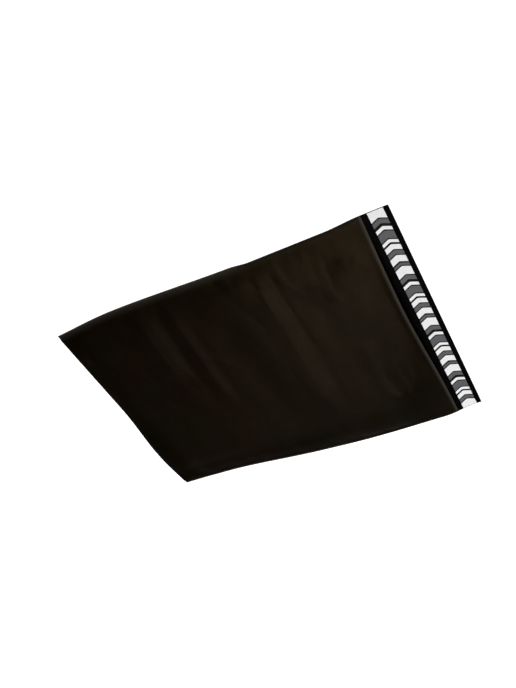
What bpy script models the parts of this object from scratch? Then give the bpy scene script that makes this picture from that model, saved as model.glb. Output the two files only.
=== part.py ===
"""An empty poly mailer lying on a flat surface, with its lip laid open.

One web of film is folded at the closed end and welded along both sides, and its back runs on past the
mouth as the lip. A band of adhesive crosses the lip under a printed release liner. Metres, +Z up.

The bag is drawn as its flat pattern: u runs from the closed fold to the lip's free edge, and v from the far
side to the near side. laid() then puts each point where it lies, with +X along u and +Y along v. The origin
is the middle of the laid-out outline, on the surface that the bag lies on.
"""

import math
from collections import namedtuple
from itertools import cycle

import bmesh
import bpy

Fold = namedtuple("Fold", "start end rise half_width")
Lift = namedtuple("Lift", "centre half_length rise reach")
Bow = namedtuple("Bow", "start full fade end outward")

# The web of film
BAG_WIDTH = 0.320
POCKET_DEPTH = 0.430
LIP_LENGTH = 0.0323
FILM = 0.00007
WELD_WIDTH = 0.004
WELD_GAP = 0.00006  # how far the films have parted at the weld's inner line
FOLD_HEIGHT = 0.0009  # height of the soft turn at the closed end
LIP_CORNER_RADIUS = 0.003

# The closure on the lip
LINER_WIDTH = 0.0186
LINER_THICKNESS = 0.00005
LINER_TO_LIP_EDGE = 0.0063
LINER_END_MARGIN = 0.0008
ADHESIVE_WIDTH = 0.0145
ADHESIVE_THICKNESS = 0.00009
ADHESIVE_END_MARGIN = 0.003
LAYER_CLEARANCE = 0.00002

# The print on the liner: chevron bars in order across the bag, each with its length and tone, and most of
# them parted by a thin black outline
OUTLINE = 0.0016
PRINT_BARS = (
    (0.0090, "white"), (OUTLINE, "black"), (0.0055, "grey"), (OUTLINE, "black"), (0.0070, "white"),
    (0.0028, "black"), (0.0042, "white"), (OUTLINE, "black"), (0.0105, "grey"), (OUTLINE, "black"),
    (0.0046, "white"), (0.0040, "black"), (0.0062, "grey"), (OUTLINE, "black"), (0.0120, "white"),
    (OUTLINE, "black"), (0.0034, "grey"), (0.0022, "black"),
)
CHEVRON_POINT = 0.0042  # how far each bar's middle runs ahead of its ends
TONES = {"white": (0.86, 0.86, 0.85), "grey": (0.115, 0.115, 0.12), "black": (0.006, 0.006, 0.006)}

# How the empty pocket lies: clear heights between its two films, and how far in they are reached
PILLOW_HEIGHT = 0.0092
PILLOW_RISE_AT_SIDES = 0.050
PILLOW_RISE_AT_FOLD = 0.060
MOUTH_GAPE = 0.0100
MOUTH_GAPE_CENTRE = 0.188
MOUTH_GAPE_HALF_WIDTH = 0.160
MOUTH_CLOSED_GAP = 0.0005
MOUTH_SETTLING = 0.080  # length over which the pillow turns into the mouth's own line
MOUTH_DRAWN_BACK = 0.0022  # how far the front film's edge is drawn back where the mouth gapes most
MOUTH_DROOP = 0.0012  # how far its cut edge turns down there
MOUTH_DROOP_REACH = 0.012

# Broad folds across the front film, from and to points (u, v) of the pattern; a valley has a negative rise
FRONT_FOLDS = (
    Fold(start=(0.113, 0.312), end=(0.106, 0.130), rise=0.0017, half_width=0.026),
    Fold(start=(0.142, 0.310), end=(0.136, 0.190), rise=-0.0010, half_width=0.018),
    Fold(start=(0.161, 0.312), end=(0.158, 0.140), rise=0.0012, half_width=0.018),
    Fold(start=(0.216, 0.250), end=(0.226, 0.070), rise=-0.0010, half_width=0.036),
    Fold(start=(0.284, 0.311), end=(0.281, 0.085), rise=0.0020, half_width=0.024),
    Fold(start=(0.327, 0.262), end=(0.338, 0.180), rise=-0.0010, half_width=0.030),
    Fold(start=(0.371, 0.308), end=(0.365, 0.240), rise=0.0013, half_width=0.016),
    Fold(start=(0.364, 0.160), end=(0.372, 0.062), rise=0.0011, half_width=0.022),
)

# Where the bag's rim stands off the surface, by the middle of each lift along its rim
FAR_SIDE_LIFTS = (Lift(centre=0.305, half_length=0.130, rise=0.0034, reach=0.042),)
CLOSED_END_LIFTS = (Lift(centre=0.060, half_length=0.110, rise=0.0020, reach=0.042),)
LIP_SETTLING = 0.045  # length over which the rim comes down to the lip, which lies flat

# How the two sides wander outwards from straight lines; where an edge is drawn in, outward is negative
FAR_SIDE_BOWS = (Bow(start=0.080, full=0.225, fade=0.410, end=0.460, outward=0.0083),)
NEAR_SIDE_BOWS = (
    Bow(start=-0.030, full=0.090, fade=0.092, end=0.290, outward=0.0062),
    Bow(start=0.262, full=0.290, fade=0.385, end=0.430, outward=-0.0024),
)

# The closed end stands out a little, most at one place across it
CLOSED_END_BOW = 0.0046
CLOSED_BOW_MIDDLE = 0.075
CLOSED_BOW_HALF_LENGTH = 0.100

# Facets
PITCH_ALONG = 0.0100
PITCH_ACROSS = 0.0140
DROOP_PITCH = 0.004  # along the front film where its edge turns down
FOLD_SEGMENTS = 3
CORNER_SEGMENTS = 4
SHARP_ANGLE = math.radians(40)
OUTER_FACE, INNER_FACE = 0, 1  # the film's two faces differ: the lip and the pocket show the blacker one

FOLD_U = FOLD_HEIGHT / 2
LIP_U = POCKET_DEPTH + LIP_LENGTH
CENTRE_U = (LIP_U - CLOSED_END_BOW) / 2
CENTRE_V = (BAG_WIDTH + NEAR_SIDE_BOWS[0].outward - FAR_SIDE_BOWS[0].outward) / 2


def smooth(t):
    """0 below 0 and 1 above 1, with level ends between them."""
    t = min(max(t, 0.0), 1.0)
    return t * t * (3 - 2 * t)


def bump(distance, half_width):
    """1 at no distance, falling smoothly to 0 at the half width."""
    if abs(distance) >= half_width:
        return 0.0
    return math.cos(math.pi / 2 * distance / half_width) ** 2


def climb(distance, reach):
    """A film's rise from a weld or fold, 0 at the line and 1 at the reach, steepest at the line."""
    return math.sin(math.pi / 2 * min(max(distance / reach, 0.0), 1.0))


def rim_lift(u, v):
    """Height of the film's underside over the surface."""
    sides = ((FAR_SIDE_LIFTS, u, v), (CLOSED_END_LIFTS, v, u))
    height = sum(
        lift.rise * bump(along - lift.centre, lift.half_length) * smooth(1 - inwards / lift.reach)
        for lifts, along, inwards in sides
        for lift in lifts
    )
    return height * smooth((POCKET_DEPTH - u) / LIP_SETTLING)


def bowed(bows, u):
    """How far a side stands out from its straight line."""
    return sum(
        bow.outward
        * smooth((u - bow.start) / (bow.full - bow.start))
        * smooth((bow.end - u) / (bow.end - bow.fade))
        for bow in bows
    )


def laid(u, v, height):
    """Where a point of the pattern lies, at a height over the film's underside."""
    closed = CLOSED_END_BOW * bump(v - CLOSED_BOW_MIDDLE, CLOSED_BOW_HALF_LENGTH)
    closed *= 1 - smooth(u / PILLOW_RISE_AT_FOLD)
    nearness = v / BAG_WIDTH
    x = u - closed - CENTRE_U
    y = v + bowed(NEAR_SIDE_BOWS, u) * nearness - bowed(FAR_SIDE_BOWS, u) * (1 - nearness) - CENTRE_V
    return x, y, rim_lift(u, v) + height


def fold_relief(u, v):
    """The broad folds' rise at a point of the front film."""
    relief = 0.0
    for fold in FRONT_FOLDS:
        run_u, run_v = fold.end[0] - fold.start[0], fold.end[1] - fold.start[1]
        from_u, from_v = u - fold.start[0], v - fold.start[1]
        length = math.hypot(run_u, run_v)
        along = (from_u * run_u + from_v * run_v) / length
        aside = (from_u * run_v - from_v * run_u) / length
        ends = smooth(0.5 + along / fold.half_width) * smooth(0.5 + (length - along) / fold.half_width)
        relief += fold.rise * bump(aside, fold.half_width) * ends
    return relief


def mouth_arch(v):
    """The share of its gape that the mouth has at a place across it."""
    return bump(v - MOUTH_GAPE_CENTRE, MOUTH_GAPE_HALF_WIDTH)


def pocket_gap(u, v):
    """Clear height between the back and the front film."""
    from_weld = min(v, BAG_WIDTH - v) - WELD_WIDTH
    sides = climb(from_weld, PILLOW_RISE_AT_SIDES)
    pillow = (PILLOW_HEIGHT + fold_relief(u, v)) * sides * climb(u, PILLOW_RISE_AT_FOLD)
    turn = (FOLD_HEIGHT - 2 * FILM - WELD_GAP) * climb(from_weld, WELD_WIDTH)
    turn *= 1 - smooth(u / PILLOW_RISE_AT_FOLD)
    droop = MOUTH_DROOP * smooth((u - POCKET_DEPTH) / MOUTH_DROOP_REACH + 1)
    mouth = ((MOUTH_GAPE - droop) * mouth_arch(v) + MOUTH_CLOSED_GAP) * sides
    settled = smooth((u - POCKET_DEPTH) / MOUTH_SETTLING + 1)
    return WELD_GAP + (pillow + turn) * (1 - settled) + mouth * settled


def top_height(u, v):
    """Height of the front film's upper face over the back film's underside; a weld fuses the two films."""
    fused = min(v, BAG_WIDTH - v) < WELD_WIDTH
    return 2 * FILM + (0.0 if fused else pocket_gap(u, v))


def spread(start, end, pitch):
    """Even stations from start to end, both included."""
    count = max(2, round((end - start) / pitch))
    return [start + (end - start) * k / count for k in range(count + 1)]


def face(mesh, corners):
    """A face through the corners in order, without repeats, or none where fewer than three remain."""
    kept = [vertex for k, vertex in enumerate(corners) if vertex is not corners[k - 1]]
    return mesh.faces.new(kept) if len(kept) > 2 else None


def loft(mesh, rings):
    """Faces from each closed ring of vertices to the next, as one list for each pair of rings."""
    return [
        [face(mesh, (ring[k - 1], ring[k], after[k], after[k - 1])) for k in range(len(ring))]
        for ring, after in zip(rings, rings[1:])
    ]


def row(mesh, u, stations, height):
    """Vertices across the bag, at one u and at heights given by a function of u and v."""
    return [mesh.verts.new(laid(u, v, height(u, v))) for v in stations]


def front_row(mesh, u, stations, inset):
    """Vertices across the front film, on its upper face or an inset below it, drawn back near the mouth."""
    settled = smooth((u - POCKET_DEPTH) / MOUTH_SETTLING + 1)
    return [
        mesh.verts.new(laid(u - MOUTH_DRAWN_BACK * mouth_arch(v) * settled, v, top_height(u, v) - inset))
        for v in stations
    ]


def turn_row(mesh, stations, inset, angle):
    """Vertices across the closed fold's half-round turn, on its outer face or an inset from it.

    The angle is -90 degrees at the turn's foot, 0 at its outermost line and 90 degrees at its top.
    """
    vertices = []
    for v in stations:
        middle = top_height(FOLD_U, v) / 2
        radius = middle - inset
        u = FOLD_U - radius * math.cos(angle)
        vertices.append(mesh.verts.new(laid(u, v, middle + radius * math.sin(angle))))
    return vertices


def turn_rings(mesh, stations, inset, ring_of):
    """The rings of the closed fold's turn, from its outermost line inwards."""
    line = turn_row(mesh, stations, inset, 0.0)
    rings = [ring_of(line, line)]
    for k in range(1, FOLD_SEGMENTS):
        angle = math.pi / 2 * k / FOLD_SEGMENTS
        rings.append(ring_of(*(turn_row(mesh, stations, inset, side * angle) for side in (-1, 1))))
    return rings


def film_bag():
    """The web of film as one closed solid: a loft of outer rings, a loft of pocket rings, and the lip."""
    mesh = bmesh.new()
    inner = spread(WELD_WIDTH, BAG_WIDTH - WELD_WIDTH, PITCH_ACROSS)
    outer = [0.0, *inner, BAG_WIDTH]
    droop_start = POCKET_DEPTH - MOUTH_DROOP_REACH
    depths = spread(FOLD_U, droop_start, PITCH_ALONG) + spread(droop_start, POCKET_DEPTH, DROOP_PITCH)[1:]

    def seamed(low, high):
        """A ring with a vertex on each cut edge, where the two films are fused."""
        seam_near, seam_far = low[-1], low[0]
        if low is not high:
            seam_near, seam_far = (mesh.verts.new((low[k].co + high[k].co) / 2) for k in (-1, 0))
        return [*low, seam_near, *reversed(high), seam_far]

    def plain(low, high):
        return [*low, *reversed(high)]

    skin = turn_rings(mesh, outer, 0.0, seamed)
    pocket = turn_rings(mesh, inner, FILM, plain)
    for u in depths:
        under = row(mesh, u, outer, lambda u, v: 0.0)
        top = front_row(mesh, u, outer, 0.0)
        skin.append(seamed(under, top))
        floor = row(mesh, u, inner, lambda u, v: FILM)
        ceiling = front_row(mesh, u, inner, FILM)
        pocket.append(plain(floor, ceiling))
    loft(mesh, skin)
    for faces in loft(mesh, pocket):
        for made in faces:
            if made:
                made.material_index = INNER_FACE

    # At the mouth the front film ends in a cut edge, and the back film's two faces run on
    seam_near, seam_far = skin[-1][len(outer)], skin[-1][-1]
    back = [seam_far, *floor, seam_near]
    front = [seam_far, *ceiling, seam_near]
    face(mesh, (seam_far, floor[0], ceiling[0], top[1], top[0]))
    face(mesh, (seam_near, top[-1], top[-2], ceiling[-1], floor[-1]))
    for k in range(2, len(outer) - 1):
        face(mesh, (front[k - 1], front[k], top[k], top[k - 1]))

    lip = [plain(under, back)]
    for u in (POCKET_DEPTH + LIP_LENGTH / 2, LIP_U):
        lip.append(plain(row(mesh, u, outer, lambda u, v: 0.0), row(mesh, u, outer, lambda u, v: FILM)))
    for faces in loft(mesh, lip):
        for made in faces[len(outer) + 1:]:
            made.material_index = INNER_FACE
    end = lip[-1]
    for k in range(1, len(outer)):
        face(mesh, (end[k - 1], end[k], end[-1 - k], end[-k]))
    corners = [mesh.edges.get((end[k], end[-1 - k])) for k in (0, len(outer) - 1)]
    bmesh.ops.bevel(
        mesh, geom=corners, offset=LIP_CORNER_RADIUS, segments=CORNER_SEGMENTS, profile=0.5, affect="EDGES"
    )
    return mesh


def strip_ring(mesh, places, low, thickness):
    """A ring round a strip on the lip, over the given places (u, v)."""
    under = [mesh.verts.new(laid(u, v, low)) for u, v in places]
    over = [mesh.verts.new(laid(u, v, low + thickness)) for u, v in places]
    return [*under, *reversed(over)]


def cap(mesh, ring):
    """Faces that close a strip's end."""
    half = len(ring) // 2
    for k in range(1, half):
        face(mesh, (ring[k - 1], ring[k], ring[-1 - k], ring[-k]))


def adhesive_band():
    """The band of adhesive, which ends short of the lip's sides."""
    mesh = bmesh.new()
    middle = LIP_U - LINER_TO_LIP_EDGE - LINER_WIDTH / 2
    edges = (middle - ADHESIVE_WIDTH / 2, middle + ADHESIVE_WIDTH / 2)
    low = FILM + LAYER_CLEARANCE
    rings = [
        strip_ring(mesh, [(u, v) for u in edges], low, ADHESIVE_THICKNESS)
        for v in (ADHESIVE_END_MARGIN, BAG_WIDTH - ADHESIVE_END_MARGIN)
    ]
    loft(mesh, rings)
    cap(mesh, rings[0])
    cap(mesh, rings[-1])
    return mesh


def print_boundaries(start, end):
    """The v at which each bar of the print ends, and the bar's tone, from the liner's start to its end."""
    bars = []
    v = start
    for length, tone in cycle(PRINT_BARS):
        v += length
        if v + CHEVRON_POINT >= end:
            bars.append((end, tone))
            return bars
        bars.append((v, tone))


def release_liner():
    """The liner, whose upper side has a pair of faces for each bar of the print."""
    mesh = bmesh.new()
    outer_u = LIP_U - LINER_TO_LIP_EDGE
    us = (outer_u - LINER_WIDTH, outer_u - LINER_WIDTH / 2, outer_u)
    start, end = LINER_END_MARGIN, BAG_WIDTH - LINER_END_MARGIN
    low = FILM + ADHESIVE_THICKNESS + 2 * LAYER_CLEARANCE
    bars = print_boundaries(start, end)
    rings = [strip_ring(mesh, [(u, start) for u in us], low, LINER_THICKNESS)]
    for v, _ in bars:
        point = v if v == end else v + CHEVRON_POINT
        rings.append(strip_ring(mesh, list(zip(us, (v, point, v))), low, LINER_THICKNESS))
    tones = list(TONES)
    upper = range(len(us) + 1, 2 * len(us))
    for faces, (_, tone) in zip(loft(mesh, rings), bars):
        for k in upper:
            faces[k].material_index = tones.index(tone)
    cap(mesh, rings[0])
    cap(mesh, rings[-1])
    return mesh


def material(name, colour, roughness):
    """A plain finish, its colour given as linear light."""
    made = bpy.data.materials.new(name)
    made.use_nodes = True
    shader = made.node_tree.nodes["Principled BSDF"]
    shader.inputs["Base Color"].default_value = (*colour, 1)
    shader.inputs["Roughness"].default_value = roughness
    shader.inputs["Metallic"].default_value = 0.0
    made.diffuse_color = (*colour, 1)
    return made


def add_piece(name, mesh, materials):
    """One piece of the bag as an object."""
    bmesh.ops.recalc_face_normals(mesh, faces=mesh.faces)
    data = bpy.data.meshes.new(name)
    mesh.to_mesh(data)
    mesh.free()
    for made in materials:
        data.materials.append(made)
    data.shade_smooth()
    data.set_sharp_from_angle(angle=SHARP_ANGLE)
    piece = bpy.data.objects.new(name, data)
    bpy.context.scene.collection.objects.link(piece)


def main():
    for old in list(bpy.data.objects):
        bpy.data.objects.remove(old)
    outside = material("film_outside", (0.010, 0.007, 0.005), 0.42)
    inside = material("film_inside", (0.003, 0.003, 0.003), 0.35)
    add_piece("film_bag", film_bag(), [outside, inside])
    add_piece("adhesive_band", adhesive_band(), [material("adhesive", (0.62, 0.55, 0.40), 0.25)])
    prints = [material(f"liner_{tone}", colour, 0.35) for tone, colour in TONES.items()]
    add_piece("release_liner", release_liner(), prints)


main()
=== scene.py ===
import math
import random
from collections import namedtuple
from itertools import cycle

import bmesh
import bpy
from mathutils import Matrix, Vector, noise


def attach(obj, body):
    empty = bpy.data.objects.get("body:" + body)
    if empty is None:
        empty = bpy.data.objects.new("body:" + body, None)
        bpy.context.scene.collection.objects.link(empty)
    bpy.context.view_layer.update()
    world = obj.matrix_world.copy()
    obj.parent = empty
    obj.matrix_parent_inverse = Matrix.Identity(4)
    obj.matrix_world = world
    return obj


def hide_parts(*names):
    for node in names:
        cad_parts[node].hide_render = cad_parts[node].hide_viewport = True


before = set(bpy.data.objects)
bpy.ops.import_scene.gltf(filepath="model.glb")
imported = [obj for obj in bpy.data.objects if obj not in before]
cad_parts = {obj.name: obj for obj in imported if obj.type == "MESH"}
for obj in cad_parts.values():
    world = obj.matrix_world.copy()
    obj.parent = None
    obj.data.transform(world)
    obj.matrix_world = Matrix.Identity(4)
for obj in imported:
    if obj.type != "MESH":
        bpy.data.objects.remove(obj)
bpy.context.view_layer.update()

# The looks of an empty poly mailer that lies flat: its film and liner with finer relief than the CAD's, all
# materials, and a white studio with the photograph's view. Metres and +Z up, in the CAD's frame.

Fold = namedtuple("Fold", "start end rise half_width crispness")
Lift = namedtuple("Lift", "centre half_length rise reach")
Bow = namedtuple("Bow", "start full fade end outward")
Dimple = namedtuple("Dimple", "place rise radius_u radius_v")
Wave = namedtuple("Wave", "rise pitch_u pitch_v plane")  # its plane is where it is cut from solid noise
Ripple = namedtuple("Ripple", "rise pitch change fade")  # along an edge, changing and fading inwards from it
Lamp = namedtuple("Lamp", "name place target size power")

# The flat pattern, with the CAD's sizes where no comment says otherwise: u runs from the closed fold to the
# lip's edge, and v from the far side to the near side
BAG_WIDTH = 0.320
POCKET_DEPTH = 0.430
LIP_LENGTH = 0.0323
FILM = 0.00007
WELD_WIDTH = 0.004
WELD_GAP = 0.00006
FOLD_HEIGHT = 0.0009
LIP_CORNER_RADIUS = 0.0044  # rounder than the CAD's 3 mm, as the photograph shows

# The closure on the lip
LINER_WIDTH = 0.0186
LINER_THICKNESS = 0.00005
LINER_TO_LIP_EDGE = 0.0063
LINER_END_MARGIN = 0.0008
ADHESIVE_THICKNESS = 0.00009
LAYER_CLEARANCE = 0.00002
OUTLINE = 0.0016
PRINT_BARS = (
    (0.0090, "white"), (OUTLINE, "black"), (0.0055, "grey"), (OUTLINE, "black"), (0.0070, "white"),
    (0.0028, "black"), (0.0042, "white"), (OUTLINE, "black"), (0.0105, "grey"), (OUTLINE, "black"),
    (0.0046, "white"), (0.0040, "black"), (0.0062, "grey"), (OUTLINE, "black"), (0.0120, "white"),
    (OUTLINE, "black"), (0.0034, "grey"), (0.0022, "black"),
)
CHEVRON_POINT = 0.0042
TONES = ("white", "grey", "black")

# How the empty pocket lies
PILLOW_HEIGHT = 0.0092
PILLOW_RISE_AT_SIDES = 0.050
PILLOW_RISE_AT_FOLD = 0.060
MOUTH_GAPE = 0.0100
MOUTH_GAPE_CENTRE = 0.188
MOUTH_GAPE_HALF_WIDTH = 0.160
MOUTH_CLOSED_GAP = 0.0005
MOUTH_SETTLING = 0.080
MOUTH_DRAWN_BACK = 0.0022
MOUTH_DROOP = 0.0012
MOUTH_DROOP_REACH = 0.012
FAR_SIDE_LIFTS = (Lift(0.305, 0.130, 0.0034, 0.042),)
CLOSED_END_LIFTS = (Lift(0.060, 0.110, 0.0020, 0.042),)
LIP_SETTLING = 0.045
FAR_SIDE_BOWS = (Bow(0.080, 0.225, 0.410, 0.460, 0.0083),)
NEAR_SIDE_BOWS = (
    Bow(-0.030, 0.090, 0.092, 0.290, 0.0062),
    Bow(0.262, 0.290, 0.385, 0.430, -0.0024),
)
CLOSED_END_BOW = 0.0046
CLOSED_BOW_MIDDLE = 0.075
CLOSED_BOW_HALF_LENGTH = 0.100

# Broad folds across the front film. The first three and the fifth lie 3 to 8 mm nearer the mouth than the
# CAD's, where the photograph has their light bands
FRONT_FOLDS = (
    Fold((0.120, 0.312), (0.113, 0.130), 0.0017, 0.026, 0.6),
    Fold((0.150, 0.310), (0.144, 0.190), -0.0010, 0.018, 0.5),
    Fold((0.164, 0.312), (0.161, 0.140), 0.0012, 0.018, 0.6),
    Fold((0.216, 0.250), (0.226, 0.070), -0.0010, 0.036, 0.0),
    Fold((0.287, 0.311), (0.284, 0.085), 0.0020, 0.024, 0.5),
    Fold((0.327, 0.262), (0.338, 0.180), -0.0010, 0.030, 0.0),
    Fold((0.371, 0.308), (0.365, 0.240), 0.0013, 0.016, 0.7),
    Fold((0.364, 0.160), (0.372, 0.062), 0.0011, 0.022, 0.5),
)
FOLD_TAPER = 2.2  # how much longer a fold's far end fades than its near end

# Folds that only the looks have
SMALL_FOLDS = (
    Fold((0.304, 0.296), (0.308, 0.180), -0.0005, 0.010, 0.9),
    Fold((0.368, 0.066), (0.402, 0.060), 0.0006, 0.012, 0.9),
    Fold((0.018, 0.268), (0.042, 0.309), 0.0007, 0.012, 0.9),
    Fold((0.286, 0.300), (0.296, 0.282), 0.0006, 0.008, 0.8),
    Fold((0.338, 0.268), (0.356, 0.262), 0.0004, 0.010, 0.8),
    Fold((0.366, 0.070), (0.410, 0.062), 0.0022, 0.038, 0.6),
    Fold((0.115, 0.200), (0.113, 0.120), -0.0012, 0.026, 0.0),
)
FAINT_FOLD_COUNT = 26
FAINT_FOLD_SEED = 5
FAINT_FOLD_RISES = (0.00008, 0.00024)
FAINT_FOLD_LENGTHS = (0.030, 0.110)
FAINT_FOLD_HALF_WIDTHS = (0.006, 0.013)
HEAPED = (Bow(0.160, 0.265, 0.265, 0.290, 0.0015),)  # the film's slow climb to the fifth broad fold
HEAPED_ACROSS = (0.050, 0.150, 0.292, 0.312)  # the climb starts, is full, is still full and ends at these v
DIMPLES = (
    Dimple((0.392, 0.277), -0.0024, 0.011, 0.010),
    Dimple((0.388, 0.235), 0.0005, 0.007, 0.016),
    Dimple((0.345, 0.232), -0.0005, 0.018, 0.014),
)
DIMPLE_EDGE = 9  # square of the distance, in radii, past which a dimple no longer counts

# Fine relief of the films
SOFT_WAVES = (Wave(0.00045, 0.060, 0.100, 3.1), Wave(0.00022, 0.022, 0.048, 7.7))
CRUMPLES = Wave(0.00016, 0.034, 0.052, 1.4)
CRUMPLED_AREAS = Wave(1.0, 0.11, 0.09, 9.2)
PUCKERS = Ripple(0.00085, 0.0135, 0.030, 0.013)  # at the welds
PUCKER_PLANES = (2.0, 5.0)  # of the far and the near side
MOUTH_RIPPLE = Ripple(0.0005, 0.030, 0.040, 0.022)
FINE_FROM_WELD = 0.006  # the front film's fine relief is whole at this distance
FINE_FROM_FOLD = 0.012
LEAST_GAP_SHARE = 0.12  # of the pocket's height, which dips leave open
BACK_WAVE = Wave(0.00035, 0.050, 0.075, 21.0)
BACK_SETTLING = 0.030
LIP_CURL = 0.0005
LIP_CURL_REACH = 0.003
LIP_CURL_PITCH = 0.045

# The line of melted film along each cut edge, and the slight ripple and crimp of the weld beside it
BEAD_RISE = 0.00030
BEAD_MIDDLE = 0.0004
BEAD_HALF_WIDTH = 0.0013
BEAD_PITCH = 0.0035
WELD_RIPPLE = 0.00006
WELD_RIPPLE_MIDDLE = 0.0024
WELD_RIPPLE_HALF_WIDTH = 0.0016
WELD_RIPPLE_PITCH = 0.006
CRIMP_PITCH = 0.0018

# How far the liner is off the lip, all over and more so along its two long edges
LINER_WAVE = 0.00005
LINER_LOOSENESS = 0.00010

# Where a highlight is painted paler onto the film: along its welds and cut edges, more widely along the near
# side, and along the mouth's edge
HIGHLIGHT_FROM_EDGE = 0.0006
SIDE_HIGHLIGHT_FADE = (0.262, 0.286)  # along the bag, the painted highlight of its sides fades out between these two places
SIDE_HIGHLIGHT_LEFT = 0.2  # the share that it keeps beyond them
NEAR_HIGHLIGHT_REACH = 0.012
NEAR_HIGHLIGHT_SHARE = 0.42
# how far back from the mouth's edge its painted highlight reaches
MOUTH_HIGHLIGHT_REACH = 0.005

# Where handling has dulled the film: up to these distances from the closed fold and from the far side
DULL_AT_FOLD = (0.012, 0.060)
DULL_AT_SIDE = (0.020, 0.055)
SIDE_DULL_TO = (0.200, 0.320)  # along the bag, the far side's dulling fades out between these two places
DULL_SHARE = 0.12

# The photograph's view: the place of the pattern that it was measured from, the camera's place from there,
# and its turns about Z, X and Z in degrees
SIGHTED_U = 0.230
SIGHTED_V = 0.160
VIEWED_FROM = (0.36029, 0.52220, 0.68358)
VIEW_TURNS = (-216.2754, 40.9746, -170.1718)
LENS_MM = 37.14
SENSOR_MM = 36.0

# The studio
WALL_TOP = (8, 16)  # degrees over the horizon between which the white walls give way to the ceiling
CEILING = 0.12
FLOOR_COLOUR = (0.80, 0.80, 0.80)
FLOOR_GLOW = 0.56
FLOOR_EVENED = (0.6, 2.6)  # distances between which the floor's glow climbs to 1, as the lamps' light fades
FLOOR_HALF_SIZE = 8
FLOOR_DROP = 0.0003
LAMPS = (
    Lamp("strip_above", (-0.12, -0.39, 1.30), (-0.12, -0.39, 0), (0.30, 1.78), 12.8),
    Lamp("strip_behind", (-0.38, -0.40, 1.25), (-0.30, -0.20, 0), (0.10, 1.60), 2.4),
    Lamp("strip_over_mouth", (0.66, -0.20, 1.20), (0.10, -0.10, 0), (0.16, 1.20), 4.6),
)

# Facets
PITCH_ALONG = 0.0022
PITCH_ACROSS = 0.0031
DROOP_PITCH = 0.0013
WELD_STATIONS = (0.0, 0.0004, 0.0009, 0.0016, 0.0027)
FOLD_SEGMENTS = 6
CORNER_SEGMENTS = 6
LINER_STEP = 0.05  # of the liner's width
PRINT_PITCH = 0.0022
SHARP_ANGLE = math.radians(40)
INNER_FACE = 1  # material of the pocket's faces and of the lip's upper face

FOLD_U = FOLD_HEIGHT / 2
LIP_U = POCKET_DEPTH + LIP_LENGTH
CENTRE_U = (LIP_U - CLOSED_END_BOW) / 2
CENTRE_V = (BAG_WIDTH + NEAR_SIDE_BOWS[0].outward - FAR_SIDE_BOWS[0].outward) / 2


def smooth(t):
    """0 below 0 and 1 above 1, with level ends between them."""
    t = min(max(t, 0.0), 1.0)
    return t * t * (3 - 2 * t)


def bump(distance, half_width):
    """1 at no distance, falling smoothly to 0 at the half width."""
    if abs(distance) >= half_width:
        return 0.0
    return math.cos(math.pi / 2 * distance / half_width) ** 2


def climb(distance, reach):
    """A film's rise from a weld or fold, 0 at the line and 1 at the reach, steepest at the line."""
    return math.sin(math.pi / 2 * min(max(distance / reach, 0.0), 1.0))


def rough(x, y, z=0.0):
    """Smooth noise between about -1 and 1."""
    return noise.noise(Vector((x, y, z)))


def waved(wave, u, v):
    """A wave's noise at a point of the pattern, between about -1 and 1."""
    return rough(u / wave.pitch_u, v / wave.pitch_v, wave.plane)


def rim_lift(u, v):
    """Height of the film's underside over the surface."""
    sides = ((FAR_SIDE_LIFTS, u, v), (CLOSED_END_LIFTS, v, u))
    height = sum(
        lift.rise * bump(along - lift.centre, lift.half_length) * smooth(1 - inwards / lift.reach)
        for lifts, along, inwards in sides
        for lift in lifts
    )
    return height * smooth((POCKET_DEPTH - u) / LIP_SETTLING)


def bowed(bows, u):
    """The sum of some bows at a place along the bag."""
    return sum(
        bow.outward
        * smooth((u - bow.start) / (bow.full - bow.start))
        * smooth((bow.end - u) / (bow.end - bow.fade))
        for bow in bows
    )


def laid(u, v, height):
    """Where a point of the pattern lies, at a height over the film's underside."""
    closed = CLOSED_END_BOW * bump(v - CLOSED_BOW_MIDDLE, CLOSED_BOW_HALF_LENGTH)
    closed *= 1 - smooth(u / PILLOW_RISE_AT_FOLD)
    nearness = v / BAG_WIDTH
    x = u - closed - CENTRE_U
    y = v + bowed(NEAR_SIDE_BOWS, u) * nearness - bowed(FAR_SIDE_BOWS, u) * (1 - nearness) - CENTRE_V
    return x, y, rim_lift(u, v) + height


def fold_relief(u, v, folds):
    """The rise of some folds at a point of the front film; a crisp fold has a pointed crest."""
    relief = 0.0
    for fold in folds:
        run_u, run_v = fold.end[0] - fold.start[0], fold.end[1] - fold.start[1]
        from_u, from_v = u - fold.start[0], v - fold.start[1]
        length = math.hypot(run_u, run_v)
        aside = (from_u * run_v - from_v * run_u) / length
        if abs(aside) >= fold.half_width:
            continue
        along = (from_u * run_u + from_v * run_v) / length
        ends = smooth(0.5 + along / fold.half_width)
        ends *= smooth(0.5 + (length - along) / (FOLD_TAPER * fold.half_width))
        crest = (1 - abs(aside) / fold.half_width) ** 2
        crisp = fold.crispness * smooth(1.2 - along / length)
        relief += fold.rise * ends * (bump(aside, fold.half_width) * (1 - crisp) + crest * crisp)
    return relief


def faint_folds():
    """Slight creases all over the front film, most of them across the bag."""
    draw = random.Random(FAINT_FOLD_SEED)
    made = []
    for _ in range(FAINT_FOLD_COUNT):
        u, v = draw.uniform(0.03, 0.41), draw.uniform(0.03, 0.29)
        heading = draw.gauss(math.pi / 2, 0.45)
        length = draw.uniform(*FAINT_FOLD_LENGTHS)
        end = (u + length * math.cos(heading), v + length * math.sin(heading))
        rise = draw.choice((-1, 1)) * draw.uniform(*FAINT_FOLD_RISES)
        made.append(Fold((u, v), end, rise, draw.uniform(*FAINT_FOLD_HALF_WIDTHS), 0.9))
    return tuple(made)


HANDLING_FOLDS = SMALL_FOLDS + faint_folds()


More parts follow.
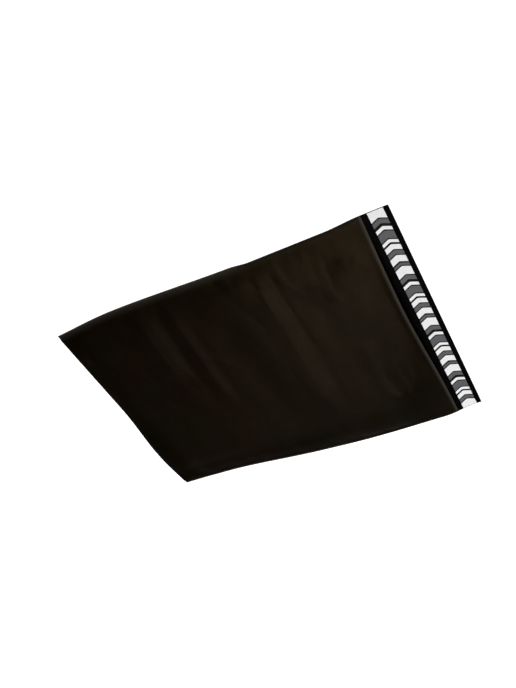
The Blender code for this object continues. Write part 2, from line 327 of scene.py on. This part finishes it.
def fine_relief(u, v):
    """The front film's finer relief: folds, soft waves, crumples, puckers at the welds, a rippled mouth."""
    from_weld = min(v, BAG_WIDTH - v) - WELD_WIDTH
    relief = fold_relief(u, v, HANDLING_FOLDS)
    low, low_full, high_full, high = HEAPED_ACROSS
    across = smooth((v - low) / (low_full - low))
    relief += bowed(HEAPED, u) * across * smooth((high - v) / (high - high_full))
    for wave in SOFT_WAVES:
        relief += wave.rise * waved(wave, u, v)
    crumple = 1 - 2 * abs(waved(CRUMPLES, u, v))
    relief += CRUMPLES.rise * crumple * smooth(0.5 + waved(CRUMPLED_AREAS, u, v))
    pucker = rough(u / PUCKERS.pitch, PUCKER_PLANES[v > BAG_WIDTH / 2], from_weld / PUCKERS.change)
    relief += PUCKERS.rise * pucker * math.exp(-from_weld / PUCKERS.fade)
    ripple = rough(v / MOUTH_RIPPLE.pitch, 4.4, u / MOUTH_RIPPLE.change)
    relief += MOUTH_RIPPLE.rise * ripple * math.exp((u - POCKET_DEPTH) / MOUTH_RIPPLE.fade)
    for dimple in DIMPLES:
        aside_u = (u - dimple.place[0]) / dimple.radius_u
        aside_v = (v - dimple.place[1]) / dimple.radius_v
        square = aside_u ** 2 + aside_v ** 2
        if square < DIMPLE_EDGE:
            relief += dimple.rise * math.exp(-square)
    return relief


def mouth_arch(v):
    """The share of its gape that the mouth has at a place across it."""
    return bump(v - MOUTH_GAPE_CENTRE, MOUTH_GAPE_HALF_WIDTH)


def pocket_gap(u, v):
    """Clear height between the back and the front film."""
    from_weld = min(v, BAG_WIDTH - v) - WELD_WIDTH
    sides = climb(from_weld, PILLOW_RISE_AT_SIDES)
    at_fold = climb(u, PILLOW_RISE_AT_FOLD)
    pillow = (PILLOW_HEIGHT + fold_relief(u, v, FRONT_FOLDS)) * sides * at_fold
    turn = (FOLD_HEIGHT - 2 * FILM - WELD_GAP) * climb(from_weld, WELD_WIDTH)
    turn *= 1 - smooth(u / PILLOW_RISE_AT_FOLD)
    droop = MOUTH_DROOP * smooth((u - POCKET_DEPTH) / MOUTH_DROOP_REACH + 1)
    mouth = ((MOUTH_GAPE - droop) * mouth_arch(v) + MOUTH_CLOSED_GAP) * sides
    settled = smooth((u - POCKET_DEPTH) / MOUTH_SETTLING + 1)
    gap = (pillow + turn) * (1 - settled) + mouth * settled
    fine = fine_relief(u, v) * smooth(from_weld / FINE_FROM_WELD) * smooth(u / FINE_FROM_FOLD)
    return WELD_GAP + max(gap + fine, LEAST_GAP_SHARE * gap)


def bead(u, v):
    """The raised line that the hot cutting of the bag's side leaves along each cut edge."""
    inwards = min(v, BAG_WIDTH - v)
    uneven = 0.75 + 0.45 * rough(u / BEAD_PITCH, 11.0 + v)
    return BEAD_RISE * bump(inwards - BEAD_MIDDLE, BEAD_HALF_WIDTH) * uneven


def top_height(u, v):
    """Height of the front film's upper face over the back film's underside; a weld fuses the two films."""
    inwards = min(v, BAG_WIDTH - v)
    if inwards >= WELD_WIDTH:
        return 2 * FILM + pocket_gap(u, v)
    ripple = WELD_RIPPLE * rough(u / WELD_RIPPLE_PITCH, v * 300)
    ripple *= bump(inwards - WELD_RIPPLE_MIDDLE, WELD_RIPPLE_HALF_WIDTH)
    return 2 * FILM + bead(u, v) + max(ripple, 0.0)


def back_relief(u, v):
    """How far the back film is off the surface between its rims; the lip lies flat."""
    inwards = min(v, BAG_WIDTH - v, u, POCKET_DEPTH - u)
    wave = 0.5 + 0.5 * waved(BACK_WAVE, u, v)
    return BACK_WAVE.rise * wave * smooth(inwards / BACK_SETTLING)


def spread(start, end, pitch):
    """Even stations from start to end, both included."""
    count = max(2, round((end - start) / pitch))
    return [start + (end - start) * k / count for k in range(count + 1)]


def face(mesh, corners):
    """A face through the corners in order, without repeats, or none where fewer than three remain."""
    kept = [vertex for k, vertex in enumerate(corners) if vertex is not corners[k - 1]]
    return mesh.faces.new(kept) if len(kept) > 2 else None


def loft(mesh, rings):
    """Faces from each closed ring of vertices to the next, as one list for each pair of rings."""
    return [
        [face(mesh, (ring[k - 1], ring[k], after[k], after[k - 1])) for k in range(len(ring))]
        for ring, after in zip(rings, rings[1:])
    ]


class Film:
    """A mesh of film whose vertices remember their place in the flat pattern; z is 1 on an upper sheet."""

    def __init__(self):
        self.mesh = bmesh.new()
        self.pattern = self.mesh.verts.layers.float_vector.new("pattern")

    def point(self, u, v, height, sheet=0.0, drawn=0.0):
        vertex = self.mesh.verts.new(laid(u - drawn, v, height))
        vertex[self.pattern] = Vector((u, v, sheet))
        return vertex


def turn_rings(film, stations, inset, ring_of):
    """The rings of the closed fold's turn, from its outermost line inwards."""
    def turn_row(angle):
        vertices = []
        for v in stations:
            middle = top_height(FOLD_U, v) / 2
            radius = middle - inset
            u = FOLD_U - radius * math.cos(angle)
            vertices.append(film.point(u, v, middle + radius * math.sin(angle)))
        return vertices

    line = turn_row(0.0)
    rings = [ring_of(line, line)]
    for k in range(1, FOLD_SEGMENTS):
        angle = math.pi / 2 * k / FOLD_SEGMENTS
        rings.append(ring_of(*(turn_row(side * angle) for side in (-1, 1))))
    return rings


def film_bag():
    """The web of film as one closed solid: a loft of outer rings, a loft of pocket rings, and the lip."""
    film = Film()
    mesh = film.mesh
    inner = spread(WELD_WIDTH, BAG_WIDTH - WELD_WIDTH, PITCH_ACROSS)
    outer = [*WELD_STATIONS, *inner, *(BAG_WIDTH - v for v in reversed(WELD_STATIONS))]
    skip = len(WELD_STATIONS)
    droop_start = POCKET_DEPTH - MOUTH_DROOP_REACH
    depths = spread(FOLD_U, droop_start, PITCH_ALONG) + spread(droop_start, POCKET_DEPTH, DROOP_PITCH)[1:]

    def seamed(low, high):
        """A ring with a vertex on each cut edge, where the two films are fused."""
        seam_near, seam_far = low[-1], low[0]
        if low is not high:
            seam_near, seam_far = (mesh.verts.new((low[k].co + high[k].co) / 2) for k in (-1, 0))
            for seam, k in ((seam_near, -1), (seam_far, 0)):
                seam[film.pattern] = low[k][film.pattern]
        return [*low, seam_near, *reversed(high), seam_far]

    def plain(low, high):
        return [*low, *reversed(high)]

    def back_row(u, stations, extra):
        return [film.point(u, v, back_relief(u, v) + extra) for v in stations]

    def front_rows(u):
        """The front film's upper face, and its lower face between the welds."""
        settled = smooth((u - POCKET_DEPTH) / MOUTH_SETTLING + 1)
        over, beneath = [], []
        for k, v in enumerate(outer):
            drawn = MOUTH_DRAWN_BACK * mouth_arch(v) * settled
            height = top_height(u, v) + back_relief(u, v)
            over.append(film.point(u, v, height, 1.0, drawn))
            if skip <= k < len(outer) - skip:
                beneath.append(film.point(u, v, height - FILM, 1.0, drawn))
        return over, beneath

    skin = turn_rings(film, outer, 0.0, seamed)
    pocket = turn_rings(film, inner, FILM, plain)
    for u in depths:
        under = back_row(u, outer, 0.0)
        top, ceiling = front_rows(u)
        skin.append(seamed(under, top))
        floor = back_row(u, inner, FILM)
        pocket.append(plain(floor, ceiling))
    loft(mesh, skin)
    for faces in loft(mesh, pocket):
        for made in faces:
            if made:
                made.material_index = INNER_FACE

    # At the mouth the front film ends in a cut edge, and the back film's two faces run on
    seam_near, seam_far = skin[-1][len(outer)], skin[-1][-1]
    far_strip = [film.point(POCKET_DEPTH, v, FILM) for v in outer[1:skip]]
    near_strip = [film.point(POCKET_DEPTH, v, FILM) for v in outer[-skip:-1]]
    back = [seam_far, *far_strip, *floor, *near_strip, seam_near]
    for k in range(skip):
        face(mesh, (back[k], back[k + 1], top[k + 1], top[k]))
        face(mesh, (back[-2 - k], back[-1 - k], top[-1 - k], top[-2 - k]))
    face(mesh, (floor[0], ceiling[0], top[skip]))
    face(mesh, (ceiling[-1], floor[-1], top[-1 - skip]))
    for k in range(1, len(ceiling)):
        face(mesh, (ceiling[k - 1], ceiling[k], top[skip + k], top[skip + k - 1]))

    lip = [plain(under, back)]
    for u in spread(POCKET_DEPTH, LIP_U, PITCH_ALONG)[1:]:
        curl = LIP_CURL * smooth((u - LIP_U) / LIP_CURL_REACH + 1)
        lift = [curl * (0.7 + 0.6 * rough(v / LIP_CURL_PITCH, 31.0)) for v in outer]
        low = [film.point(u, v, rise) for v, rise in zip(outer, lift)]
        high = [film.point(u, v, rise + FILM, 1.0) for v, rise in zip(outer, lift)]
        lip.append(plain(low, high))
    for faces in loft(mesh, lip):
        for made in faces[len(outer) + 1:]:
            made.material_index = INNER_FACE
    end = lip[-1]
    for k in range(1, len(outer)):
        face(mesh, (end[k - 1], end[k], end[-1 - k], end[-k]))
    corners = [mesh.edges.get((end[k], end[-1 - k])) for k in (0, len(outer) - 1)]
    bmesh.ops.bevel(
        mesh, geom=corners, offset=LIP_CORNER_RADIUS, segments=CORNER_SEGMENTS, profile=0.5, affect="EDGES"
    )
    return mesh


def print_boundaries(start, end):
    """The v at which each bar of the print ends, and the bar's tone, from the liner's start to its end."""
    bars = []
    v = start
    for length, tone in cycle(PRINT_BARS):
        v += length
        if v + CHEVRON_POINT >= end:
            bars.append((end, tone))
            return bars
        bars.append((v, tone))


def release_liner():
    """The liner, with a ring at each bar's end and more between them where a bar is long."""
    film = Film()
    mesh = film.mesh
    outer_u = LIP_U - LINER_TO_LIP_EDGE
    across = spread(0.0, 1.0, LINER_STEP)
    start, end = LINER_END_MARGIN, BAG_WIDTH - LINER_END_MARGIN
    low = FILM + ADHESIVE_THICKNESS + 2 * LAYER_CLEARANCE

    def ring_at(v, point):
        """A ring round the liner; its middle runs ahead by the point, with a slightly blunt tip."""
        under, over = [], []
        for t in across:
            u = outer_u - LINER_WIDTH * (1 - t)
            aside = 2 * t - 1
            tip = 1 - math.sqrt(aside ** 2 + 0.004)
            place = v + point * max(tip, 0.0)
            loose = smooth(abs(aside) * 5 - 4)
            height = low + LINER_WAVE * (1 + rough(place / 0.012, u / 0.008))
            height += LINER_LOOSENESS * loose * (1 + rough(place / 0.020, 3.0 + t))
            under.append(film.point(u, place, height))
            over.append(film.point(u, place, height + LINER_THICKNESS, 1.0))
        return [*under, *reversed(over)]

    rings, tones = [ring_at(start, 0.0)], []
    before_v, before_point = start, 0.0
    for v, tone in print_boundaries(start, end):
        point = 0.0 if v == end else CHEVRON_POINT
        steps = max(1, round((v - before_v) / PRINT_PITCH))
        for k in range(1, steps + 1):
            share = k / steps
            ring_v = before_v + (v - before_v) * share
            rings.append(ring_at(ring_v, before_point + (point - before_point) * share))
            tones.append(TONES.index(tone))
        before_v, before_point = v, point
    for faces, tone in zip(loft(mesh, rings), tones):
        for made in faces[len(across) + 1:]:
            made.material_index = tone
    for ring in (rings[0], rings[-1]):
        for k in range(1, len(across)):
            face(mesh, (ring[k - 1], ring[k], ring[-1 - k], ring[-k]))
    return mesh


class Nodes:
    """Short ways to add nodes to a material or world."""

    def __init__(self, tree):
        self.tree = tree

    def add(self, kind, **settings):
        node = self.tree.nodes.new(kind)
        for name, value in settings.items():
            setattr(node, name, value)
        return node

    def link(self, source, target):
        self.tree.links.new(source, target)

    def math(self, operation, first, second):
        node = self.add("ShaderNodeMath", operation=operation)
        for socket, value in zip(node.inputs, (first, second)):
            if isinstance(value, (int, float)):
                socket.default_value = value
            else:
                self.link(value, socket)
        return node.outputs[0]

    def sine(self, source):
        node = self.add("ShaderNodeMath", operation="SINE")
        self.link(source, node.inputs[0])
        return node.outputs[0]

    def stretched(self, source, scale):
        node = self.add("ShaderNodeVectorMath", operation="MULTIPLY")
        self.link(source, node.inputs[0])
        node.inputs[1].default_value = scale
        return node.outputs[0]

    def noise(self, coordinates, scale, detail=2.0, roughness=0.5, distortion=0.0):
        """Noise with a scale for each axis."""
        node = self.add("ShaderNodeTexNoise")
        self.link(self.stretched(coordinates, scale), node.inputs["Vector"])
        node.inputs["Scale"].default_value = 1.0
        node.inputs["Detail"].default_value = detail
        node.inputs["Roughness"].default_value = roughness
        node.inputs["Distortion"].default_value = distortion
        return node.outputs["Fac"]

    def ranged(self, source, low, high, to_low, to_high):
        """A value carried smoothly from one range to another, and held at its ends."""
        node = self.add("ShaderNodeMapRange", interpolation_type="SMOOTHSTEP")
        self.link(source, node.inputs["Value"])
        for name, value in (("From Min", low), ("From Max", high), ("To Min", to_low), ("To Max", to_high)):
            node.inputs[name].default_value = value
        return node.outputs["Result"]

    def mixed(self, share, first, second):
        """A colour between two, each given as a tuple or a socket."""
        node = self.add("ShaderNodeMix", data_type="RGBA")
        self.link(share, node.inputs["Factor"])
        for socket, value in ((node.inputs[6], first), (node.inputs[7], second)):
            if isinstance(value, tuple):
                socket.default_value = (*value, 1)
            else:
                self.link(value, socket)
        return node.outputs[2]

    def bumped(self, height, distance, onto=None):
        node = self.add("ShaderNodeBump")
        self.link(height, node.inputs["Height"])
        node.inputs["Distance"].default_value = distance
        node.inputs["Strength"].default_value = 1.0
        if onto is not None:
            self.link(onto, node.inputs["Normal"])
        return node.outputs["Normal"]


def new_material(name):
    """A material, with short ways to add its nodes, and its shader."""
    made = bpy.data.materials.new(name)
    made.use_nodes = True
    return made, Nodes(made.node_tree), made.node_tree.nodes["Principled BSDF"]


def pattern_place(nodes):
    """The place in the flat pattern that a mesh of film carries."""
    return nodes.add("ShaderNodeAttribute", attribute_name="pattern").outputs["Vector"]


def film_material(name, warm, olive, scuffed, edge, mouth_highlight_share, specular, tint, roughness):
    """Black film in two dark hues, with faint scuffs, a fine grain and a crimp along the welds.

    A highlight is painted paler onto its sides and its mouth's edge, and it is dulled near the closed fold
    and far side.
    """
    made, nodes, shader = new_material(name)
    place = pattern_place(nodes)
    drift = nodes.noise(place, (9, 12, 1), 3.0, 0.55, 0.4)
    colour = nodes.mixed(nodes.ranged(drift, 0.38, 0.62, 0, 1), warm, olive)
    scuffs = nodes.noise(place, (900, 130, 1), 2.0, 0.6, 1.5)
    patches = nodes.noise(place, (26, 20, 1), 2.0)
    scuffed_share = nodes.math(
        "MULTIPLY", nodes.ranged(scuffs, 0.60, 0.74, 0, 0.7), nodes.ranged(patches, 0.50, 0.68, 0, 1)
    )
    scuffed_colour = nodes.mixed(scuffed_share, colour, scuffed)

    sheen = nodes.noise(place, (38, 24, 1), 3.0, 0.6)
    nodes.link(nodes.ranged(sheen, 0.3, 0.7, *roughness), shader.inputs["Roughness"])

    split = nodes.add("ShaderNodeSeparateXYZ")
    nodes.link(place, split.inputs[0])
    along, from_far, on_upper = split.outputs
    from_near = nodes.math("SUBTRACT", BAG_WIDTH, from_far)
    inwards = nodes.math("MINIMUM", from_far, from_near)
    # A painted highlight along the welds and cut edges, made uneven along them by noise and wider along the
    # near side; it fades out along the bag
    uneven_highlight = nodes.ranged(nodes.noise(place, (260, 260, 1), 2.0, 0.6), 0.3, 0.6, 0.5, 1)
    side_highlight = nodes.math("MULTIPLY", nodes.ranged(inwards, HIGHLIGHT_FROM_EDGE, WELD_WIDTH, 1, 0), uneven_highlight)
    near_highlight = nodes.ranged(from_near, HIGHLIGHT_FROM_EDGE, NEAR_HIGHLIGHT_REACH, NEAR_HIGHLIGHT_SHARE, 0)
    side_highlight = nodes.math("MAXIMUM", side_highlight, near_highlight)
    side_highlight = nodes.math("MULTIPLY", side_highlight, nodes.ranged(along, *SIDE_HIGHLIGHT_FADE, 1, SIDE_HIGHLIGHT_LEFT))
    # A painted highlight along the front film's mouth edge, on the outside only
    mouth_highlight = nodes.ranged(along, POCKET_DEPTH - MOUTH_HIGHLIGHT_REACH, POCKET_DEPTH - 0.001, 0, 1)
    mouth_highlight = nodes.math("MULTIPLY", nodes.math("MULTIPLY", mouth_highlight, on_upper), mouth_highlight_share)
    painted_highlights = nodes.math("MAXIMUM", side_highlight, mouth_highlight)
    # Every painted highlight lightens the base colour towards the edge colour
    nodes.link(nodes.mixed(painted_highlights, scuffed_colour, edge), shader.inputs["Base Color"])

    in_weld = nodes.ranged(inwards, WELD_WIDTH - 0.0006, WELD_WIDTH, 1, 0)
    crimp = nodes.sine(nodes.math("MULTIPLY", along, 2 * math.pi / CRIMP_PITCH))
    normal = nodes.bumped(nodes.math("MULTIPLY", crimp, in_weld), 0.00008)
    wrinkles = nodes.noise(place, (150, 70, 1), 3.0, 0.55, 0.8)
    normal = nodes.bumped(wrinkles, 0.00018, normal)
    grain = nodes.noise(place, (1500, 1500, 1), 2.0, 0.6)
    nodes.link(nodes.bumped(grain, 0.00006, normal), shader.inputs["Normal"])

    near_far_side = nodes.ranged(from_far, *DULL_AT_SIDE, 1, 0)
    dull_side = nodes.math("MULTIPLY", near_far_side, nodes.ranged(along, *SIDE_DULL_TO, 1, 0))
    dulled = nodes.math("MAXIMUM", nodes.ranged(along, *DULL_AT_FOLD, 1, 0), dull_side)
    level = nodes.ranged(dulled, 0, 1, specular, specular * DULL_SHARE)
    nodes.link(level, shader.inputs["Specular IOR Level"])
    shader.inputs["Specular Tint"].default_value = (*tint, 1)
    return made


def liner_material(name, light, dark, roughness, specular):
    """Ink on release film: uneven cover, a fine web grain along the strip and a soft gloss."""
    made, nodes, shader = new_material(name)
    place = pattern_place(nodes)
    cover = nodes.noise(place, (700, 420, 1), 4.0, 0.65)
    inked = nodes.mixed(nodes.ranged(cover, 0.35, 0.70, 0, 1), light, dark)
    nodes.link(inked, shader.inputs["Base Color"])
    shine = nodes.noise(place, (160, 60, 1), 2.0)
    spread_roughness = nodes.ranged(shine, 0.3, 0.7, roughness - 0.05, roughness + 0.08)
    nodes.link(spread_roughness, shader.inputs["Roughness"])
    web = nodes.noise(place, (2600, 260, 1), 2.0, 0.6)
    normal = nodes.bumped(web, 0.00003)
    soft = nodes.noise(place, (90, 60, 1), 2.0)
    nodes.link(nodes.bumped(soft, 0.0003, normal), shader.inputs["Normal"])
    shader.inputs["Specular IOR Level"].default_value = specular
    return made


def adhesive_material():
    """Pale hot melt, laid down in slightly uneven lanes."""
    made, nodes, shader = new_material("adhesive_melt")
    place = nodes.add("ShaderNodeTexCoord").outputs["Object"]
    lanes = nodes.noise(place, (700, 30, 1), 3.0, 0.6)
    colour = nodes.mixed(nodes.ranged(lanes, 0.3, 0.7, 0, 1), (0.66, 0.59, 0.43), (0.52, 0.44, 0.29))
    nodes.link(colour, shader.inputs["Base Color"])
    blotches = nodes.noise(place, (160, 120, 1), 2.0)
    nodes.link(nodes.ranged(blotches, 0.3, 0.7, 0.18, 0.34), shader.inputs["Roughness"])
    nodes.link(nodes.bumped(lanes, 0.0001), shader.inputs["Normal"])
    return made


def add_piece(name, mesh, materials, node):
    """One piece of the visual model, which stands for a node of the CAD."""
    bmesh.ops.recalc_face_normals(mesh, faces=mesh.faces)
    data = bpy.data.meshes.new(name)
    mesh.to_mesh(data)
    mesh.free()
    for made in materials:
        data.materials.append(made)
    data.shade_smooth()
    data.set_sharp_from_angle(angle=SHARP_ANGLE)
    piece = bpy.data.objects.new(name, data)
    bpy.context.scene.collection.objects.link(piece)
    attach(piece, "root")
    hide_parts(node)


def add_lamp(lamp):
    """A soft rectangular lamp that looks at its target."""
    data = bpy.data.lights.new(lamp.name, "AREA")
    data.shape = "RECTANGLE"
    data.size, data.size_y = lamp.size
    data.energy = lamp.power
    light = bpy.data.objects.new(lamp.name, data)
    light.location = lamp.place
    light.rotation_mode = "QUATERNION"
    light.rotation_quaternion = (Vector(lamp.target) - Vector(lamp.place)).to_track_quat("-Z", "Y")
    bpy.context.scene.collection.objects.link(light)


def seen_rays(nodes):
    """1 for rays that show a surface or the world to the eye: camera, glossy and transmission rays."""
    path = nodes.add("ShaderNodeLightPath")
    shown = nodes.math("MAXIMUM", path.outputs["Is Camera Ray"], path.outputs["Is Glossy Ray"])
    return nodes.math("MAXIMUM", shown, path.outputs["Is Transmission Ray"])


def make_world():
    """A studio with white walls, low all round, under a dimmer ceiling."""
    world = bpy.data.worlds.new("studio")
    world.use_nodes = True
    world.node_tree.nodes.clear()
    nodes = Nodes(world.node_tree)
    split = nodes.add("ShaderNodeSeparateXYZ")
    nodes.link(nodes.add("ShaderNodeTexCoord").outputs["Generated"], split.inputs[0])
    background = nodes.add("ShaderNodeBackground")
    background.inputs["Color"].default_value = (1, 1, 1, 1)
    low, high = (math.sin(math.radians(angle)) for angle in WALL_TOP)
    nodes.link(nodes.ranged(split.outputs["Z"], low, high, 1.0, CEILING), background.inputs["Strength"])
    nodes.link(background.outputs[0], nodes.add("ShaderNodeOutputWorld").inputs["Surface"])
    bpy.context.scene.world = world


def make_floor():
    """A plain floor, matte and lit a little by itself to the eye, more so farther out, to read as white."""
    mesh = bmesh.new()
    bmesh.ops.create_grid(mesh, x_segments=1, y_segments=1, size=FLOOR_HALF_SIZE)
    data = bpy.data.meshes.new("floor")
    mesh.to_mesh(data)
    mesh.free()
    made = bpy.data.materials.new("floor_white")
    made.use_nodes = True
    made.node_tree.nodes.clear()
    nodes = Nodes(made.node_tree)
    matte, shine = nodes.add("ShaderNodeBsdfDiffuse"), nodes.add("ShaderNodeEmission")
    matte.inputs["Color"].default_value = (*FLOOR_COLOUR, 1)
    away = nodes.add("ShaderNodeVectorMath", operation="LENGTH")
    nodes.link(nodes.add("ShaderNodeTexCoord").outputs["Object"], away.inputs[0])
    evened = nodes.ranged(away.outputs["Value"], *FLOOR_EVENED, FLOOR_GLOW, 1.0)
    nodes.link(nodes.math("MULTIPLY", seen_rays(nodes), evened), shine.inputs["Strength"])
    both = nodes.add("ShaderNodeAddShader")
    nodes.link(matte.outputs[0], both.inputs[0])
    nodes.link(shine.outputs[0], both.inputs[1])
    nodes.link(both.outputs[0], nodes.add("ShaderNodeOutputMaterial").inputs["Surface"])
    data.materials.append(made)
    floor = bpy.data.objects.new("floor", data)
    floor.location = (0, 0, -FLOOR_DROP)
    bpy.context.scene.collection.objects.link(floor)


def make_camera():
    """The photograph's view of the bag."""
    data = bpy.data.cameras.new("camera")
    data.lens = LENS_MM
    data.sensor_width = SENSOR_MM
    data.clip_start, data.clip_end = 0.01, 50
    camera = bpy.data.objects.new("camera", data)
    turned = Matrix.Identity(4)
    for angle, axis in zip(VIEW_TURNS, "ZXZ"):
        turned = turned @ Matrix.Rotation(math.radians(angle), 4, axis)
    sighted = Vector((SIGHTED_U - CENTRE_U, SIGHTED_V - CENTRE_V, 0))
    camera.matrix_world = Matrix.Translation(sighted + Vector(VIEWED_FROM)) @ turned
    bpy.context.scene.collection.objects.link(camera)
    bpy.context.scene.camera = camera


outside = film_material(
    "film_outside", warm=(0.0036, 0.0015, 0.0004), olive=(0.0026, 0.0020, 0.0004),
    # edge is the pale colour of the painted highlights along the sides and the mouth's edge
    scuffed=(0.012, 0.009, 0.006), edge=(0.034, 0.029, 0.025), mouth_highlight_share=1.0,
    specular=0.045, tint=(1.0, 0.72, 0.42), roughness=(0.31, 0.40)
)
inside = film_material(
    "film_inside", warm=(0.0006, 0.0005, 0.0004), olive=(0.0008, 0.0007, 0.0006),
    # edge is the colour of the faint painted highlight along the welds and the near side
    scuffed=(0.004, 0.004, 0.004), edge=(0.006, 0.006, 0.006), mouth_highlight_share=0.0,
    specular=0.008, tint=(1.0, 1.0, 1.0), roughness=(0.34, 0.46)
)
add_piece("film_bag_fine", film_bag(), [outside, inside], "film_bag")
inks = [
    liner_material("liner_white", (0.87, 0.87, 0.86), (0.80, 0.80, 0.79), 0.34, 0.14),
    liner_material("liner_grey", (0.108, 0.108, 0.113), (0.086, 0.086, 0.090), 0.36, 0.08),
    liner_material("liner_black", (0.0025, 0.0025, 0.0025), (0.0050, 0.0050, 0.0050), 0.34, 0.03),
]
add_piece("release_liner_fine", release_liner(), inks, "release_liner")
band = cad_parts["adhesive_band"]
band.data.materials.clear()
band.data.materials.append(adhesive_material())

make_world()
make_floor()
for strip in LAMPS:
    add_lamp(strip)
make_camera()
bpy.context.scene.view_settings.view_transform = "Standard"
